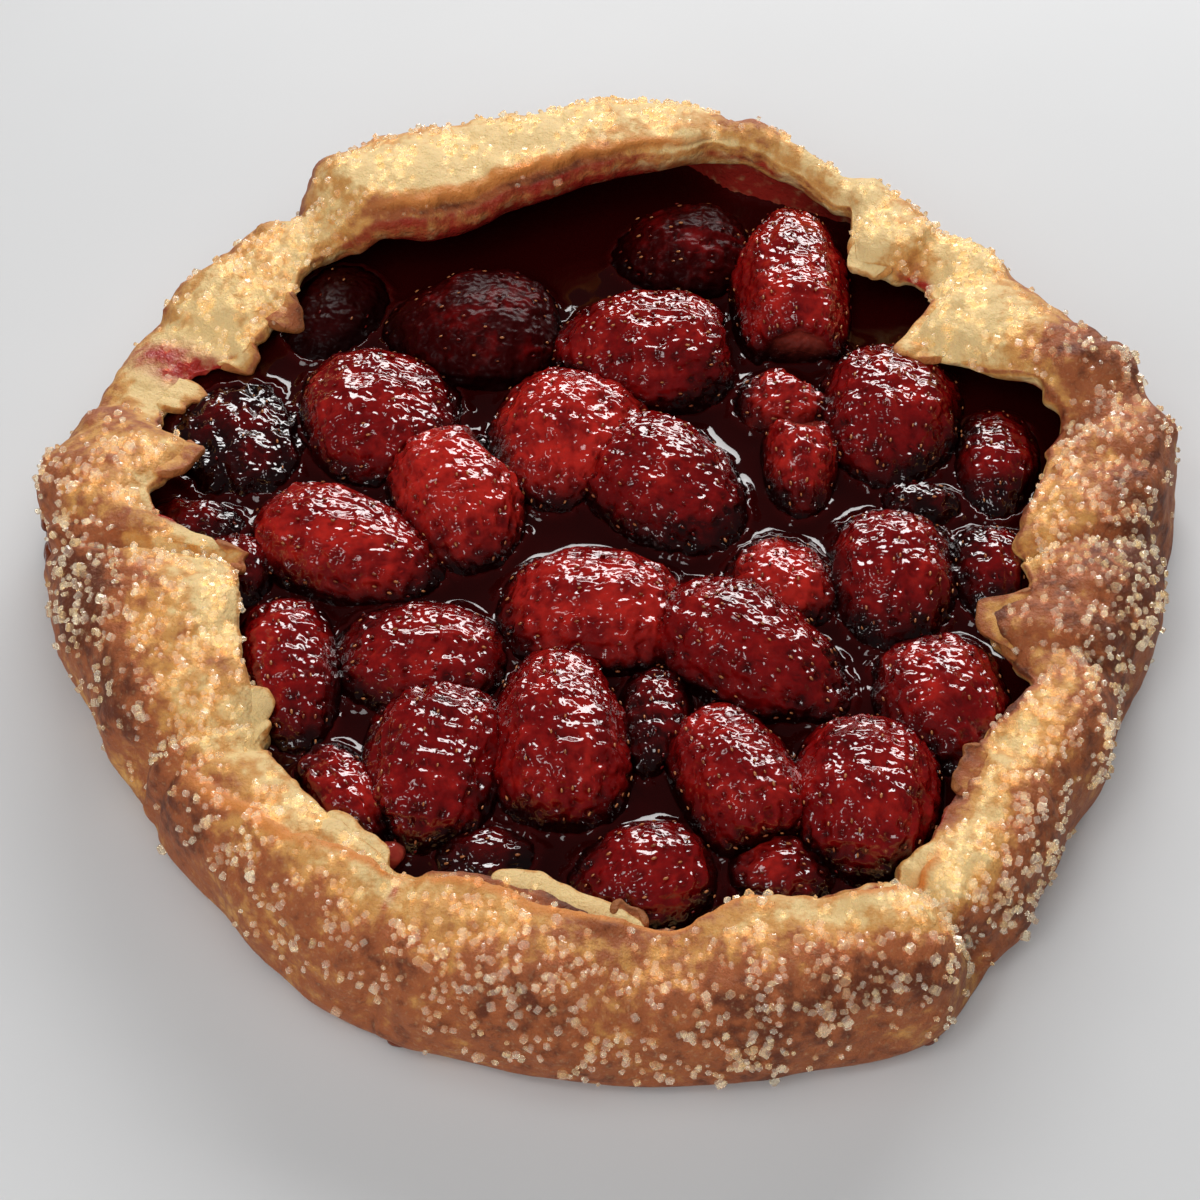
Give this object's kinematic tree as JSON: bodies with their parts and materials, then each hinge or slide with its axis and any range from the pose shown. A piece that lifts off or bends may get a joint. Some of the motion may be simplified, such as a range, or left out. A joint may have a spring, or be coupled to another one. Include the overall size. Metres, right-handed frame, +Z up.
{
  "type": "strawberry galette",
  "caption": "Free-form galette: a sugared pastry crust folded up and over its edge round glossy baked strawberry halves that sit in dark red syrup.",
  "frame": {"origin": "middle of the flat underside", "axes": "+Z up, -Y towards the front, +X to the right seen from the front"},
  "size_m": [0.2387, 0.2363, 0.0368],
  "materials": {
    "pastry": "baked golden brown, matte to satin, with coarse sugar",
    "fruit": "wet, glossy and wrinkled, with pale seeds",
    "syrup": "clear dark liquid, very glossy"
  },
  "bodies": {
    "root": {"crust": "pastry", "syrup": "syrup", "strawberry_01": "fruit", "strawberry_02": "fruit", "strawberry_03": "fruit", "strawberry_04": "fruit", "strawberry_05": "fruit", "strawberry_06": "fruit", "strawberry_07": "fruit", "strawberry_08": "fruit", "strawberry_09": "fruit", "strawberry_10": "fruit", "strawberry_11": "fruit", "strawberry_12": "fruit", "strawberry_13": "fruit", "strawberry_14": "fruit", "strawberry_15": "fruit", "strawberry_16": "fruit", "strawberry_17": "fruit", "strawberry_18": "fruit", "strawberry_19": "fruit", "strawberry_20": "fruit", "strawberry_21": "fruit", "strawberry_22": "fruit", "strawberry_23": "fruit", "strawberry_24": "fruit", "strawberry_25": "fruit", "strawberry_26": "fruit", "strawberry_27": "fruit", "strawberry_28": "fruit", "strawberry_29": "fruit", "strawberry_30": "fruit", "strawberry_31": "fruit", "strawberry_32": "fruit", "strawberry_33": "fruit", "strawberry_34": "fruit", "strawberry_35": "fruit"}
  },
  "joints": []
}
